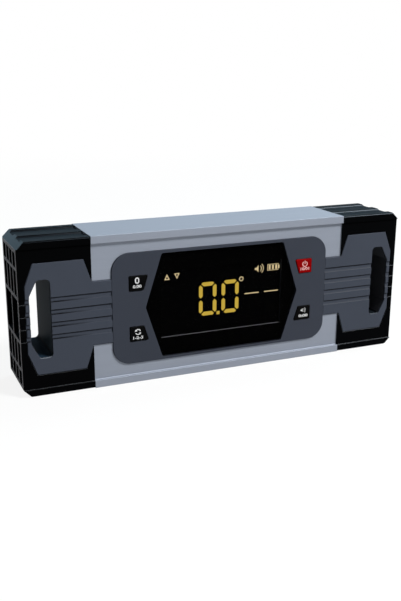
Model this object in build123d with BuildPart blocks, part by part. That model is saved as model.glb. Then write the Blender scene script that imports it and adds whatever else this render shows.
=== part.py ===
from build123d import *
import os

os.makedirs("parts", exist_ok=True)

# Overall size in millimetres. X runs along the level, the display faces -Y, and Z rises from the base.
length = 165.0
height = 60.0
depth = 27.0

# Aluminium profile: a box section whose top and bottom plates overhang its two webs
plate_thickness = 3.0
plate_edge = 0.1
web_recess = 1.1
web_root = 0.4
front_web = 3.8
rear_web = 2.4
cavity_radius = 1.0

# Clearances
fit = 0.1
key_fit = 0.15
cover_fit = 0.15
plunger_fit = 0.08
flange_gap = 0.1
overcut = 1.0

# Moulded end caps, with a tongue that plugs into the profile
cap_recess = 0.5
cap_relief = 0.15
cap_chamfer = 3.0
cap_bevel = 0.4
tongue_gap = 0.8
tongue_wall = 2.4
top_groove_width = 8.0
top_groove_depth = 0.7
top_groove_spacing = 12.0

# Hang slot through each cap, with a collar that centres the inlay
slot_end_wall = 4.1
slot_width = 7.8
slot_height = 30.2
slot_slope_x = 3.0
slot_slope_z = 5.9
slot_radius = 1.6
slot_slope_radius = 1.0
slot_collar = 0.6
slot_lip = 0.2
slot_wall = 2.5

# Cored pockets in the end face of each cap
core_depth = 1.8
core_rib = 1.2
core_frame = 1.4
core_width = 22.4
core_centre_row = 15.6
core_second_row = 9.8

# Grey inlay: an octagon round the slot and a strip along the web. Its lip covers the collar of the slot, and
# grip grooves run across it and on over the edge of the cap.
strip_length = 7.75
insert_end_margin = 2.4
insert_height = 43.2
insert_outer_side = 25.8
insert_outer_slope = 3.3
insert_inner_slope = 2.9
insert_thickness = 2.2
insert_bevel = 0.25
insert_lip = 0.9
strip_height = 25.3
groove_count = 4
groove_width = 2.0
groove_land = 2.8
groove_depth = 0.4
peg_diameter = 2.6
peg_length = 2.5
peg_inset = 6.0

# Viewing opening of the display, and the hexagonal window whose borders surround it
view_length = 53.4
view_height = 27.4
window_end_border = 6.7
window_side_border = 7.35
window_shoulder = 6.8
window_radius = 1.0
window_thickness = 1.2
mask_thickness = 0.1

# Front panel round the window, inlaid in the front web on an adhesive gasket
panel_end_margin = 13.6
panel_side_margin = 1.15
panel_radius = 7.0
panel_thickness = 2.4
panel_bevel = 0.05
panel_rim = 2.0
gasket_thickness = 0.3

# Liquid crystal display, its light guide and its elastomer connector
lcd_overlap = 3.0
lcd_front_glass = 1.0
lcd_rear_glass = 0.8
lcd_ledge = 2.5
lcd_rib = 1.0
lcd_rib_height = 1.2
guide_margin = 0.5
guide_thickness = 1.8
connector_width = 1.6
connector_inset = 1.7

# Circuit board and what it carries
board_thickness = 1.2
board_end_gap = 2.0
board_side_gap = 0.4
board_radius = 2.0
boss_diameter = 3.2
boss_inset = 1.7
boss_offset = 1.3
board_screw_diameter = 1.6
board_screw_length = 4.5
board_screw_head = 3.0
board_screw_head_height = 1.0
chip_size = 7.0
chip_height = 1.0
sensor_size = 4.0
sensor_height = 1.1
buzzer_diameter = 9.0
buzzer_height = 2.6
buzzer_port = 2.0
sensor_drop = 11.0

# Keys and their switches
key_margin = 6.8
key_gap = 3.3
key_height = 5.95
key_offset = 10.18
key_radius = 0.5
key_proud = 0.3
key_bevel = 0.2
key_flange = 0.8
key_flange_thickness = 0.8
key_travel = 0.4
switch_size = 6.0
switch_height = 1.9
plunger_diameter = 3.2
plunger_root = 0.5

# Battery cells, tray and cover
cell_diameter = 10.5
cell_length = 44.5
cell_nub_diameter = 3.8
cell_nub_length = 0.8
cell_shoulder = 0.4
cell_gap = 0.6
cell_side_gap = 0.3
cell_floor_gap = 0.1
cell_cover_gap = 0.3
spring_room = 4.0
plate_room = 1.0
tray_wall = 1.2
tray_floor = 1.2
tray_neck_wall = 1.0
tray_rim = 2.0
tray_rim_thickness = 1.0
tray_hook = 0.5
tray_hook_height = 1.0
tray_hook_length = 8.0
tray_hook_spacing = 40.0
cover_thickness = 2.0
cover_end = 6.5
cover_side = 2.2
cover_radius = 1.5
cover_bevel = 0.3
cover_screw_diameter = 2.0
cover_screw_length = 6.0
cover_screw_head = 3.8
cover_screw_head_height = 0.9
cover_boss_diameter = 5.0

# Sprung battery contacts, bent from strip
contact_thickness = 0.3
contact_width = 6.0
contact_bend = 0.5
contact_nose = 4.2
tail_width = 2.0

# Countersunk screws that hold the end caps
cap_screw_diameter = 2.5
cap_screw_head = 4.6
cap_screw_length = 5.0
cap_screw_inset = 10.0
countersink_angle = 90

# Levels along Y, from the front face to the rear face
FRONT = (0, -1, 0)
BACK = (0, 1, 0)
front_face = -depth / 2
rear_face = depth / 2
cap_face = front_face + cap_recess
panel_face = cap_face
web_face = front_face + web_recess
cavity_front = web_face + front_web
rear_web_face = rear_face - web_recess
cavity_rear = rear_web_face - rear_web
insert_seat = cap_face + insert_thickness
collar_face = cap_face + insert_lip
panel_back = panel_face + panel_thickness
panel_seat = panel_back + gasket_thickness
window_back = panel_face + window_thickness
mask_back = window_back + mask_thickness
lcd_front = panel_back
lcd_step = lcd_front + lcd_front_glass
lcd_back = lcd_step + lcd_rear_glass
board_front = lcd_back + guide_thickness
board_back = board_front + board_thickness
key_face = panel_face - key_proud
flange_front = panel_back + flange_gap
flange_back = flange_front + key_flange_thickness
switch_top = board_front - switch_height
cover_seat = rear_web_face - cover_thickness
cell_axis = cover_seat - cell_cover_gap - cell_diameter / 2
compartment_floor = cell_axis - cell_diameter / 2 - cell_floor_gap
tray_bottom = compartment_floor - tray_floor
neck_bottom = cavity_rear - fit - tray_hook_height

# Places along X and Z
window_tip = view_length / 2 + window_end_border
window_half = view_height / 2 + window_side_border
panel_end = window_tip + panel_end_margin
panel_length = 2 * panel_end
panel_height = 2 * (window_half + panel_side_margin)
half_length = length / 2
half_body = panel_end + strip_length
cap_length = half_length - half_body
mid = height / 2
web_height = height - 2 * plate_thickness
cavity_depth = cavity_rear - cavity_front
cavity_middle = (cavity_front + cavity_rear) / 2
opening_length = panel_length - 2 * panel_rim
opening_height = panel_height - 2 * panel_rim
tongue_end = opening_length / 2 + tongue_gap
slot_outer = half_length - slot_end_wall
slot_inner = slot_outer - slot_width
slot_middle = (slot_inner + slot_outer) / 2
insert_outer = half_length - insert_end_margin
groove_pitch = groove_width + groove_land
lcd_length = view_length + 2 * lcd_overlap
lcd_height = view_height + 2 * lcd_overlap
board_length = opening_length - 2 * board_end_gap
board_height = opening_height - 2 * board_side_gap
connector_length = view_length - 2 * connector_inset
boss_x = lcd_length / 2 + boss_offset
boss_z = board_height / 2 - boss_inset
compartment_length = cell_length + spring_room + plate_room
compartment_height = 2 * cell_diameter + cell_gap + 2 * cell_side_gap
cell_shift = (spring_room - plate_room) / 2
cell_row = (cell_diameter + cell_gap) / 2
cover_length = compartment_length + 2 * cover_end
cover_height = compartment_height + 2 * cover_side
cover_screw_x = (compartment_length + cover_end) / 2
neck_length = cover_length + 2 * (cover_fit + tray_neck_wall)
neck_height = cover_height + 2 * (cover_fit + tray_neck_wall)
neck_radius = cover_radius + cover_fit + tray_neck_wall
rim_length = neck_length + 2 * tray_rim
rim_height = neck_height + 2 * tray_rim
rim_radius = neck_radius + tray_rim
contact_wall = compartment_length / 2
component_place = (contact_wall + tray_wall + board_length / 2) / 2
tail_length = compartment_floor + tail_width - board_back
cap_screw_x = (tongue_end + half_body) / 2
cap_screw_spacing = web_height - 2 * cap_screw_inset

# The four keys: name, side of the panel, above or below the middle
KEYS = [("zero", -1, 1), ("mode", -1, -1), ("power", 1, 1), ("hold", 1, -1)]
# A length well under any wall or gap, for picking edges by their place
touch = 0.01


def facing_front(y):
    """Sketch plane at depth y: sketch x is X and sketch y is Z."""
    return Plane.XZ.offset(-y)


def facing_rear(y):
    """Sketch plane at depth y, facing the rear: sketch x is -X and sketch y is Z."""
    return Plane(origin=(0, y, 0), x_dir=(-1, 0, 0), z_dir=BACK)


def at(value, place):
    """True where a coordinate lies at a place."""
    return abs(value - place) < touch


def panel_outline(y, gap=0.0):
    """Rounded rectangle of the front panel, grown by a gap."""
    with BuildSketch(facing_front(y), mode=Mode.PRIVATE) as outline:
        with Locations((0, mid)):
            RectangleRounded(panel_length + 2 * gap, panel_height + 2 * gap, panel_radius + gap)
    return outline.sketch


def opening_outline(y):
    """Rounded opening through the front web, a rim's width inside the panel."""
    with BuildSketch(facing_front(y), mode=Mode.PRIVATE) as outline:
        with Locations((0, mid)):
            RectangleRounded(opening_length, opening_height, panel_radius - panel_rim)
    return outline.sketch


def window_side(rise):
    """Half width of the hexagonal window at a height above or below its middle."""
    return window_tip - window_shoulder * rise / window_half


def window_outline(y, gap=0.0):
    """Hexagon with its points to the left and right, grown by a gap."""
    flat = window_side(window_half)
    corners = [(window_tip, 0), (flat, window_half), (-flat, window_half)]
    corners += [(-x, -z) for x, z in corners]
    with BuildSketch(facing_front(y), mode=Mode.PRIVATE) as outline:
        Polygon(*[(x, mid + z) for x, z in corners], align=None)
        fillet(outline.vertices(), window_radius)
        if gap:
            offset(amount=gap)
    return outline.sketch


def slot_outline(y, gap=0.0):
    """Hang slot of the right end, with long sloping corners on its outer side, grown by a gap."""
    half = slot_height / 2
    lower = [(slot_inner, -half), (slot_outer - slot_slope_x, -half), (slot_outer, slot_slope_z - half)]
    corners = lower + [(x, -z) for x, z in reversed(lower)]
    with BuildSketch(facing_front(y), mode=Mode.PRIVATE) as outline:
        Polygon(*[(x, mid + z) for x, z in corners], align=None)
        fillet(outline.vertices().filter_by(lambda corner: corner.X > slot_middle), slot_slope_radius)
        fillet(outline.vertices().group_by(Axis.X)[0], slot_radius)
        if gap:
            offset(amount=gap)
    return outline.sketch


def insert_outline(y, gap=0.0):
    """Octagon round the right slot with the strip that runs in to the panel, grown by a gap."""
    half = insert_height / 2
    lower = [
        (panel_end + fit, -strip_height / 2),
        (half_body, -strip_height / 2),
        (half_body + insert_inner_slope, -half),
        (insert_outer - insert_outer_slope, -half),
        (insert_outer, -insert_outer_side / 2),
    ]
    corners = lower + [(x, -z) for x, z in reversed(lower)]
    with BuildSketch(facing_front(y), mode=Mode.PRIVATE) as outline:
        Polygon(*[(x, mid + z) for x, z in corners], align=None)
        if gap:
            offset(amount=gap, kind=Kind.INTERSECTION)
    return outline.sketch


def key_middle(side, level):
    """Centre of a key on the front, as X and Z."""
    inner = window_side(key_offset) + key_gap
    return side * (inner + panel_end - key_margin) / 2, mid + level * key_offset


def key_outline(y, side, level, gap=0.0):
    """Key whose inner edge follows the side of the window, grown by a gap."""
    outer = panel_end - key_margin
    near = key_offset - key_height / 2
    far = key_offset + key_height / 2
    corners = [
        (outer, near),
        (outer, far),
        (window_side(far) + key_gap, far),
        (window_side(near) + key_gap, near),
    ]
    with BuildSketch(facing_front(y), mode=Mode.PRIVATE) as outline:
        Polygon(*[(side * x, mid + level * z) for x, z in corners], align=None)
        fillet(outline.vertices(), key_radius)
        if gap:
            offset(amount=gap)
    return outline.sketch


def groove_lines(x_from, x_to):
    """The grip grooves between two places along X, as sketch rectangles."""
    with Locations(((x_from + x_to) / 2, mid)):
        with GridLocations(groove_pitch, groove_pitch, 1, groove_count):
            Rectangle(x_to - x_from, groove_width)


def peg_places():
    """Centres of the four pegs behind a right inlay, as X and Z."""
    rise = (slot_height + insert_height) / 4
    return [(x, mid + z) for x in (half_body + peg_inset, slot_middle) for z in (-rise, rise)]


def boss_places():
    """Centres of the four bosses that carry the circuit board, as X and Z."""
    return [(x, mid + z) for x in (-boss_x, boss_x) for z in (-boss_z, boss_z)]


# Aluminium profile: the extrusion, then the pockets milled for panel, inlays and battery tray
with BuildPart() as body_profile:
    with BuildSketch(Plane.YZ):
        Rectangle(depth, height, align=(Align.CENTER, Align.MIN))
        with Locations((front_face, mid), (rear_face, mid)):
            Rectangle(2 * web_recess, web_height, mode=Mode.SUBTRACT)
        with Locations((cavity_middle, mid)):
            RectangleRounded(cavity_depth, web_height, cavity_radius, mode=Mode.SUBTRACT)
    extrude(amount=half_body, both=True)
    outer_edges = body_profile.edges().filter_by(Axis.X)
    chamfer(outer_edges.filter_by(lambda edge: at(abs(edge.center().Y), depth / 2)), plate_edge)
    fillet(outer_edges.filter_by(lambda edge: at(abs(edge.center().Y), rear_web_face)), web_root)
    extrude(panel_outline(web_face, fit), amount=panel_seat - web_face, dir=BACK, mode=Mode.SUBTRACT)
    extrude(opening_outline(web_face), amount=front_web + overcut, dir=BACK, mode=Mode.SUBTRACT)
    strip_depth = insert_seat - web_face
    strip = extrude(insert_outline(web_face, fit), amount=strip_depth, dir=BACK, mode=Mode.SUBTRACT)
    mirror(strip, about=Plane.YZ, mode=Mode.SUBTRACT)
    with BuildSketch(facing_rear(rear_web_face)):
        with Locations((0, mid)):
            RectangleRounded(rim_length + 2 * fit, rim_height + 2 * fit, rim_radius + fit)
    extrude(amount=tray_rim_thickness, dir=FRONT, mode=Mode.SUBTRACT)
    with BuildSketch(facing_rear(rear_web_face)):
        with Locations((0, mid)):
            RectangleRounded(neck_length + 2 * fit, neck_height + 2 * fit, neck_radius + fit)
    extrude(amount=rear_web + overcut, dir=FRONT, mode=Mode.SUBTRACT)
    with Locations(facing_rear(rear_web_face)):
        with Locations((0, mid)):
            with GridLocations(2 * cap_screw_x, cap_screw_spacing, 2, 2):
                CounterSinkHole(
                    cap_screw_diameter / 2 + fit,
                    cap_screw_head / 2 + fit,
                    depth=rear_web + overcut,
                    counter_sink_angle=countersink_angle,
                )
body_profile.part.label = "body_profile"
export_step(body_profile.part, "parts/body_profile.step")

# Right end cap: outer block, tongue, hollow, bed of the inlay, hang slot with its collar, cored end face
with BuildPart() as end_cap_right:
    with BuildSketch(Plane.XZ) as block:
        with Locations(((half_body + half_length) / 2, mid)):
            Rectangle(cap_length, height - 2 * cap_relief)
        chamfer(block.vertices().group_by(Axis.X)[-1], cap_chamfer)
    extrude(amount=depth / 2, both=True)
    with BuildSketch(Plane.YZ.offset(half_body)):
        with Locations((front_face, mid), (rear_face, mid)):
            Rectangle(2 * cap_recess, web_height)
    extrude(amount=cap_length, mode=Mode.SUBTRACT)
    end_edges = end_cap_right.edges().filter_by(lambda edge: edge.center().X > half_length - touch)
    chamfer(end_edges.filter_by(Axis.Z), cap_bevel)
    long_edges = end_cap_right.edges().filter_by(Axis.X)
    long_edges = long_edges.filter_by(lambda edge: at(abs(edge.center().Y), depth / 2))
    chamfer(long_edges.filter_by(lambda edge: at(abs(edge.center().Z - mid), mid - cap_relief)), cap_bevel)
    groove_edge = top_groove_width / 2
    groove_floor = groove_edge - top_groove_depth
    groove_section = [
        (-groove_edge, 0),
        (-groove_floor, -top_groove_depth),
        (groove_floor, -top_groove_depth),
    ]
    groove_section += [(-y, -z) for y, z in groove_section]
    with BuildSketch(Plane.YZ.offset(half_body)):
        with Locations((0, mid)):
            with GridLocations(top_groove_spacing, height - 2 * cap_relief, 2, 2):
                Polygon(*groove_section, align=None)
    extrude(amount=cap_length, mode=Mode.SUBTRACT)
    with BuildSketch(Plane.YZ.offset(half_body)):
        with Locations((cavity_middle, mid)):
            RectangleRounded(cavity_depth - 2 * fit, web_height - 2 * fit, cavity_radius)
    extrude(amount=tongue_end - half_body)
    with BuildSketch(Plane.YZ.offset(tongue_end)):
        with Locations((cavity_middle, mid)):
            RectangleRounded(
                cavity_depth - 2 * (fit + tongue_wall), web_height - 2 * (fit + tongue_wall), cavity_radius
            )
    extrude(amount=slot_inner - slot_wall - tongue_end, mode=Mode.SUBTRACT)
    extrude(insert_outline(cap_face, fit), amount=insert_thickness, dir=BACK, mode=Mode.SUBTRACT)
    extrude(slot_outline(collar_face + fit, slot_collar), amount=insert_seat - collar_face - fit, dir=BACK)
    extrude(slot_outline(front_face), amount=depth, dir=BACK, mode=Mode.SUBTRACT)
    slot_edges = end_cap_right.edges(Select.LAST)
    chamfer(slot_edges.filter_by(lambda edge: at(edge.center().Y, rear_face - cap_recess)), slot_lip)
    core_outer_row = (
        web_height - 2 * core_frame - core_centre_row - 2 * core_second_row - 4 * core_rib
    ) / 2
    second_rise = core_centre_row / 2 + core_rib + core_second_row / 2
    outer_rise = second_rise + core_second_row / 2 + core_rib + core_outer_row / 2
    core_rows = [(0, core_centre_row, 2)]
    core_rows += [(side * second_rise, core_second_row, 4) for side in (-1, 1)]
    core_rows += [(side * outer_rise, core_outer_row, 4) for side in (-1, 1)]
    with BuildSketch(Plane.YZ.offset(half_length)):
        for rise, row_height, columns in core_rows:
            cell_width = (core_width + core_rib) / columns - core_rib
            with Locations((0, mid + rise)):
                with GridLocations(cell_width + core_rib, row_height, columns, 1):
                    Rectangle(cell_width, row_height)
    extrude(amount=-core_depth, mode=Mode.SUBTRACT)
    with BuildSketch(facing_front(insert_seat)):
        with Locations(*peg_places()):
            Circle(peg_diameter / 2 + fit)
    extrude(amount=peg_length + fit, dir=BACK, mode=Mode.SUBTRACT)
    with BuildSketch(facing_front(cap_face)):
        groove_lines(insert_outer - fit, half_length + overcut)
    edge_grooves = extrude(amount=groove_depth, dir=BACK, mode=Mode.SUBTRACT)
    mirror(edge_grooves, about=Plane.XZ, mode=Mode.SUBTRACT)
    with BuildSketch(facing_rear(cavity_rear)):
        with Locations((-cap_screw_x, mid)):
            with GridLocations(cap_screw_spacing, cap_screw_spacing, 1, 2):
                Circle(cap_screw_diameter / 2 + fit)
    extrude(amount=cap_screw_length, dir=FRONT, mode=Mode.SUBTRACT)
end_cap_right.part.label = "end_cap_right"
export_step(end_cap_right.part, "parts/end_cap_right.step")

# Left end cap: the same moulding, mirrored
with BuildPart() as end_cap_left:
    mirror(end_cap_right.part, about=Plane.YZ)
end_cap_left.part.label = "end_cap_left"
export_step(end_cap_left.part, "parts/end_cap_left.step")

# Right grey inlay: plate with a lip over the collar, grip grooves across it and pegs behind it
with BuildPart() as grip_insert_right:
    extrude(insert_outline(cap_face), amount=insert_thickness, dir=BACK)
    face_edges = grip_insert_right.faces().sort_by(Axis.Y)[0].edges()
    chamfer(face_edges.filter_by(lambda edge: edge.center().X > panel_end + fit + touch), insert_bevel)
    extrude(slot_outline(cap_face, fit), amount=insert_lip, dir=BACK, mode=Mode.SUBTRACT)
    collar_hole = slot_outline(collar_face, slot_collar + fit)
    extrude(collar_hole, amount=insert_seat - collar_face, dir=BACK, mode=Mode.SUBTRACT)
    with BuildSketch(facing_front(cap_face)):
        groove_lines(panel_end, insert_outer + overcut)
    extrude(amount=groove_depth, dir=BACK, mode=Mode.SUBTRACT)
    with BuildSketch(facing_front(insert_seat)):
        with Locations(*peg_places()):
            Circle(peg_diameter / 2)
    extrude(amount=peg_length, dir=BACK)
grip_insert_right.part.label = "grip_insert_right"
export_step(grip_insert_right.part, "parts/grip_insert_right.step")

# Left grey inlay: the same moulding, mirrored
with BuildPart() as grip_insert_left:
    mirror(grip_insert_right.part, about=Plane.YZ)
grip_insert_left.part.label = "grip_insert_left"
export_step(grip_insert_left.part, "parts/grip_insert_left.step")

# Front panel: window bed, viewing opening, key holes, a frame that centres the display, and board bosses
with BuildPart() as front_panel:
    extrude(panel_outline(panel_face), amount=panel_thickness, dir=BACK)
    chamfer(front_panel.faces().sort_by(Axis.Y)[0].edges(), panel_bevel)
    extrude(window_outline(panel_face, fit), amount=mask_back - panel_face, dir=BACK, mode=Mode.SUBTRACT)
    with BuildSketch(facing_front(panel_face)):
        with Locations((0, mid)):
            Rectangle(view_length, view_height)
    extrude(amount=panel_thickness, dir=BACK, mode=Mode.SUBTRACT)
    for _, side, level in KEYS:
        hole = key_outline(panel_face, side, level, key_fit)
        extrude(hole, amount=panel_thickness, dir=BACK, mode=Mode.SUBTRACT)
    with BuildSketch(facing_front(panel_back)):
        with Locations((0, mid)):
            Rectangle(lcd_length + 2 * (fit + lcd_rib), lcd_height + 2 * (fit + lcd_rib))
            Rectangle(lcd_length + 2 * fit, lcd_height + 2 * fit, mode=Mode.SUBTRACT)
    extrude(amount=lcd_rib_height, dir=BACK)
    with BuildSketch(facing_front(panel_back)):
        with Locations(*boss_places()):
            Circle(boss_diameter / 2)
    extrude(amount=board_front - panel_back, dir=BACK)
    with BuildSketch(facing_front(board_front)):
        with Locations(*boss_places()):
            Circle(board_screw_diameter / 2 + fit)
    extrude(amount=board_screw_length - board_thickness + fit, dir=FRONT, mode=Mode.SUBTRACT)
front_panel.part.label = "front_panel"
export_step(front_panel.part, "parts/front_panel.step")

# Adhesive gasket under the rim of the panel
with BuildPart() as panel_gasket:
    extrude(panel_outline(panel_back, -fit), amount=gasket_thickness, dir=BACK)
    extrude(opening_outline(panel_back), amount=gasket_thickness, dir=BACK, mode=Mode.SUBTRACT)
panel_gasket.part.label = "panel_gasket"
export_step(panel_gasket.part, "parts/panel_gasket.step")

# Hexagonal window, flush with the panel
with BuildPart() as display_window:
    extrude(window_outline(panel_face), amount=window_thickness, dir=BACK)
display_window.part.label = "display_window"
export_step(display_window.part, "parts/display_window.step")

# Black adhesive mask that holds the window and frames the display
with BuildPart() as window_mask:
    extrude(window_outline(window_back), amount=mask_thickness, dir=BACK)
    with BuildSketch(facing_front(window_back)):
        with Locations((0, mid)):
            Rectangle(view_length, view_height)
    extrude(amount=mask_thickness, dir=BACK, mode=Mode.SUBTRACT)
window_mask.part.label = "window_mask"
export_step(window_mask.part, "parts/window_mask.step")

# Display: two sheets of glass, the rear one short along the bottom to leave the contact ledge free
with BuildPart() as lcd_glass:
    with BuildSketch(facing_front(lcd_front)):
        with Locations((0, mid)):
            Rectangle(lcd_length, lcd_height)
    extrude(amount=lcd_front_glass, dir=BACK)
    with BuildSketch(facing_front(lcd_step)):
        with Locations((0, mid + lcd_ledge / 2)):
            Rectangle(lcd_length, lcd_height - lcd_ledge)
    extrude(amount=lcd_rear_glass, dir=BACK)
lcd_glass.part.label = "lcd_glass"
export_step(lcd_glass.part, "parts/lcd_glass.step")

# Light guide between the display and the board
with BuildPart() as backlight_guide:
    with BuildSketch(facing_front(lcd_back)):
        with Locations((0, mid)):
            Rectangle(view_length + 2 * guide_margin, view_height + 2 * guide_margin)
    extrude(amount=guide_thickness, dir=BACK)
backlight_guide.part.label = "backlight_guide"
export_step(backlight_guide.part, "parts/backlight_guide.step")

# Elastomer strip that joins the contact ledge of the display to the board
with BuildPart() as lcd_connector:
    with BuildSketch(facing_front(lcd_step)):
        with Locations((0, mid - lcd_height / 2 + lcd_ledge / 2)):
            Rectangle(connector_length, connector_width)
    extrude(amount=board_front - lcd_step, dir=BACK)
lcd_connector.part.label = "lcd_connector"
export_step(lcd_connector.part, "parts/lcd_connector.step")

# Circuit board
with BuildPart() as main_board:
    with BuildSketch(facing_front(board_front)):
        with Locations((0, mid)):
            RectangleRounded(board_length, board_height, board_radius)
        with Locations(*boss_places()):
            Circle(board_screw_diameter / 2 + fit, mode=Mode.SUBTRACT)
    extrude(amount=board_thickness, dir=BACK)
main_board.part.label = "main_board"
export_step(main_board.part, "parts/main_board.step")

# Screws that hold the board to the bosses of the panel
with BuildPart() as board_screws:
    with BuildSketch(facing_front(board_back)):
        with Locations(*boss_places()):
            Circle(board_screw_diameter / 2)
    extrude(amount=board_screw_length, dir=FRONT)
    with BuildSketch(facing_front(board_back)):
        with Locations(*boss_places()):
            Circle(board_screw_head / 2)
    extrude(amount=board_screw_head_height, dir=BACK)
board_screws.part.label = "board_screws"
export_step(board_screws.part, "parts/board_screws.step")

# Controller, tilt sensor and buzzer on the back of the board, beside the battery tray
with BuildPart() as controller_chip:
    with BuildSketch(facing_front(board_back)):
        with Locations((-component_place, mid)):
            Rectangle(chip_size, chip_size)
    extrude(amount=chip_height, dir=BACK)
controller_chip.part.label = "controller_chip"
export_step(controller_chip.part, "parts/controller_chip.step")

with BuildPart() as tilt_sensor:
    with BuildSketch(facing_front(board_back)):
        with Locations((component_place, mid - sensor_drop)):
            Rectangle(sensor_size, sensor_size)
    extrude(amount=sensor_height, dir=BACK)
tilt_sensor.part.label = "tilt_sensor"
export_step(tilt_sensor.part, "parts/tilt_sensor.step")

with BuildPart() as buzzer:
    with BuildSketch(facing_front(board_back)):
        with Locations((component_place, mid)):
            Circle(buzzer_diameter / 2)
    extrude(amount=buzzer_height, dir=BACK)
    with BuildSketch(facing_front(board_back + buzzer_height)):
        with Locations((component_place, mid)):
            Circle(buzzer_port / 2)
    extrude(amount=buzzer_height / 2, dir=FRONT, mode=Mode.SUBTRACT)
buzzer.part.label = "buzzer"
export_step(buzzer.part, "parts/buzzer.step")

# Switch bodies under the keys, each with a bore for its plunger
with BuildPart() as key_switches:
    with BuildSketch(facing_front(board_front)):
        with Locations(*[key_middle(side, level) for _, side, level in KEYS]):
            Rectangle(switch_size, switch_size)
    extrude(amount=switch_height, dir=FRONT)
    with BuildSketch(facing_front(switch_top)):
        with Locations(*[key_middle(side, level) for _, side, level in KEYS]):
            Circle(plunger_diameter / 2 + plunger_fit)
    extrude(amount=plunger_root + key_travel + fit, dir=BACK, mode=Mode.SUBTRACT)
key_switches.part.label = "key_switches"
export_step(key_switches.part, "parts/key_switches.step")

# Keys, each held behind the panel by its flange, and the switch plungers that they press
for name, side, level in KEYS:
    with BuildPart() as key:
        extrude(key_outline(key_face, side, level), amount=flange_front - key_face, dir=BACK)
        chamfer(key.faces().sort_by(Axis.Y)[0].edges(), key_bevel)
        extrude(key_outline(flange_front, side, level, key_flange), amount=key_flange_thickness, dir=BACK)
    key.part.label = f"{name}_key"
    export_step(key.part, f"parts/{name}_key.step")

    with BuildPart() as plunger:
        with BuildSketch(facing_front(flange_back)):
            with Locations(key_middle(side, level)):
                Circle(plunger_diameter / 2)
        extrude(amount=switch_top + plunger_root - flange_back, dir=BACK)
    plunger.part.label = f"{name}_plunger"
    export_step(plunger.part, f"parts/{name}_plunger.step")

# Battery tray: rim and neck in the rear web, the cell compartment, screw bosses and snap hooks
with BuildPart() as battery_tray:
    with BuildSketch(facing_rear(rear_web_face)):
        with Locations((0, mid)):
            RectangleRounded(rim_length, rim_height, rim_radius)
    extrude(amount=tray_rim_thickness, dir=FRONT)
    with BuildSketch(facing_rear(rear_web_face)):
        with Locations((0, mid)):
            RectangleRounded(neck_length, neck_height, neck_radius)
    extrude(amount=rear_web_face - neck_bottom, dir=FRONT)
    with BuildSketch(facing_rear(neck_bottom)):
        with Locations((0, mid)):
            with GridLocations(tray_hook_spacing, neck_height, 2, 2):
                Rectangle(tray_hook_length, 2 * tray_hook)
    extrude(amount=tray_hook_height, dir=BACK)
    with BuildSketch(facing_rear(neck_bottom)):
        with Locations((0, mid)):
            Rectangle(compartment_length + 2 * tray_wall, compartment_height + 2 * tray_wall)
    extrude(amount=neck_bottom - tray_bottom, dir=FRONT)
    with BuildSketch(facing_rear(cover_seat)):
        with Locations((-cover_screw_x, mid), (cover_screw_x, mid)):
            Circle(cover_boss_diameter / 2)
    extrude(amount=cover_screw_length + tray_wall, dir=FRONT)
    with BuildSketch(facing_rear(rear_web_face)):
        with Locations((0, mid)):
            RectangleRounded(
                cover_length + 2 * cover_fit, cover_height + 2 * cover_fit, cover_radius + cover_fit
            )
    extrude(amount=cover_thickness, dir=FRONT, mode=Mode.SUBTRACT)
    with BuildSketch(facing_rear(cover_seat)):
        with Locations((0, mid)):
            Rectangle(compartment_length, compartment_height)
    extrude(amount=cover_seat - compartment_floor, dir=FRONT, mode=Mode.SUBTRACT)
    with BuildSketch(facing_rear(cover_seat)):
        with Locations((-cover_screw_x, mid), (cover_screw_x, mid)):
            Circle(cover_screw_diameter / 2 + fit)
    extrude(amount=cover_screw_length, dir=FRONT, mode=Mode.SUBTRACT)
    with BuildSketch(facing_front(tray_bottom)):
        with Locations((contact_wall - contact_thickness / 2, mid)):
            with GridLocations(2 * cell_row, 2 * cell_row, 1, 2):
                Rectangle(contact_thickness + 2 * fit, tail_width + 2 * fit)
    extrude(amount=tray_floor, dir=BACK, mode=Mode.SUBTRACT)
battery_tray.part.label = "battery_tray"
export_step(battery_tray.part, "parts/battery_tray.step")

# Two cells side by side, turned opposite ways and each pushed to its plate end
for name, side in [("upper", 1), ("lower", -1)]:
    with BuildPart() as cell:
        base = Plane(
            origin=(side * (cell_shift - cell_length / 2), cell_axis, mid + side * cell_row),
            x_dir=BACK,
            z_dir=(side, 0, 0),
        )
        with BuildSketch(base):
            Circle(cell_diameter / 2)
        extrude(amount=cell_length - cell_nub_length)
        fillet(cell.edges(), cell_shoulder)
        with BuildSketch(base.offset(cell_length - cell_nub_length)):
            Circle(cell_nub_diameter / 2)
        extrude(amount=cell_nub_length)
    cell.part.label = f"{name}_cell"
    export_step(cell.part, f"parts/{name}_cell.step")


def contact_profile(end, level, reach):
    """Strip on an end wall of the compartment, bent out to a nose that reaches the end of a cell."""
    wall = [
        (contact_thickness, cover_seat - fit),
        (contact_thickness, cell_axis + contact_nose),
        (reach, cell_axis),
        (contact_thickness, cell_axis - contact_nose),
        (contact_thickness, compartment_floor),
    ]
    with BuildSketch(Plane.XY.offset(mid + level * cell_row), mode=Mode.PRIVATE) as profile:
        with BuildLine():
            line = FilletPolyline(*[(end * (contact_wall - x), y) for x, y in wall], radius=contact_bend)
            offset(line, amount=contact_thickness, side=Side.LEFT if end > 0 else Side.RIGHT)
        make_face()
    return profile.sketch


def tail_outline(level):
    """Section of the tail that runs from a right-hand strip through the tray to the board."""
    with BuildSketch(facing_front(board_back), mode=Mode.PRIVATE) as outline:
        with Locations((contact_wall - contact_thickness / 2, mid + level * cell_row)):
            Rectangle(contact_thickness, tail_width)
    return outline.sketch


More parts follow.
